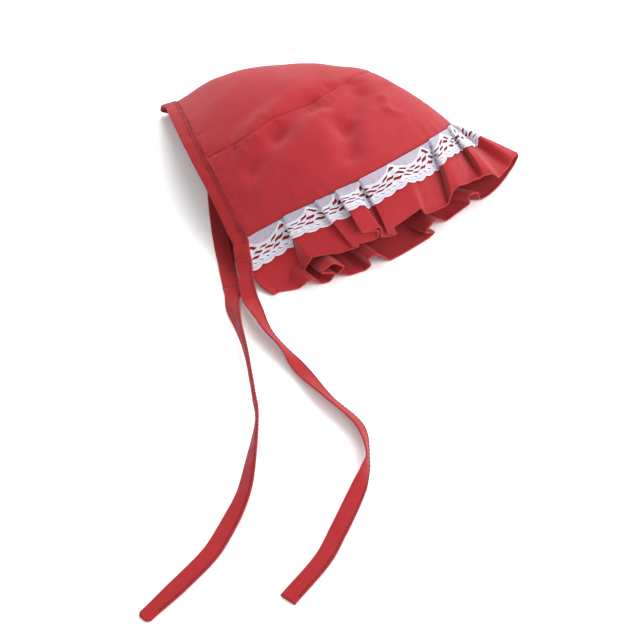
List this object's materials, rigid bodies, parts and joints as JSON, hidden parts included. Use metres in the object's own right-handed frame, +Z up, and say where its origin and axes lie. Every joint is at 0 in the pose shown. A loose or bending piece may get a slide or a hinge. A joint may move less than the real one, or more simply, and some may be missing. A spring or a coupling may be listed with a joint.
{
  "type": "dog sun bonnet",
  "caption": "Ruffled cotton sun bonnet for a small dog, lying on its left side, with a pierced lace trim round the face opening and two flat ties.",
  "frame": {"origin": "the middle of the bonnet's own box, without the ties, on the floor that it lies on", "axes": "+Z up from the floor; the neck opening looks towards -X, the face opening towards -Y and +X, and the top of the crown towards +Y"},
  "size_m": [0.2298, 0.3886, 0.0574],
  "materials": {
    "red_cotton": "plain woven cotton, matt, soft folds",
    "red_binding": "folded cotton strip with two stitch lines, matt",
    "white_lace": "white corded net lace, slightly glossy thread"
  },
  "bodies": {
    "root": {"side_panel_right": "red_cotton", "side_panel_left": "red_cotton", "back_panel": "red_cotton", "neck_band": "red_binding", "ruffle": "red_cotton", "lace_trim": "white_lace", "tie_right": "red_binding", "tie_left": "red_binding"}
  },
  "joints": []
}
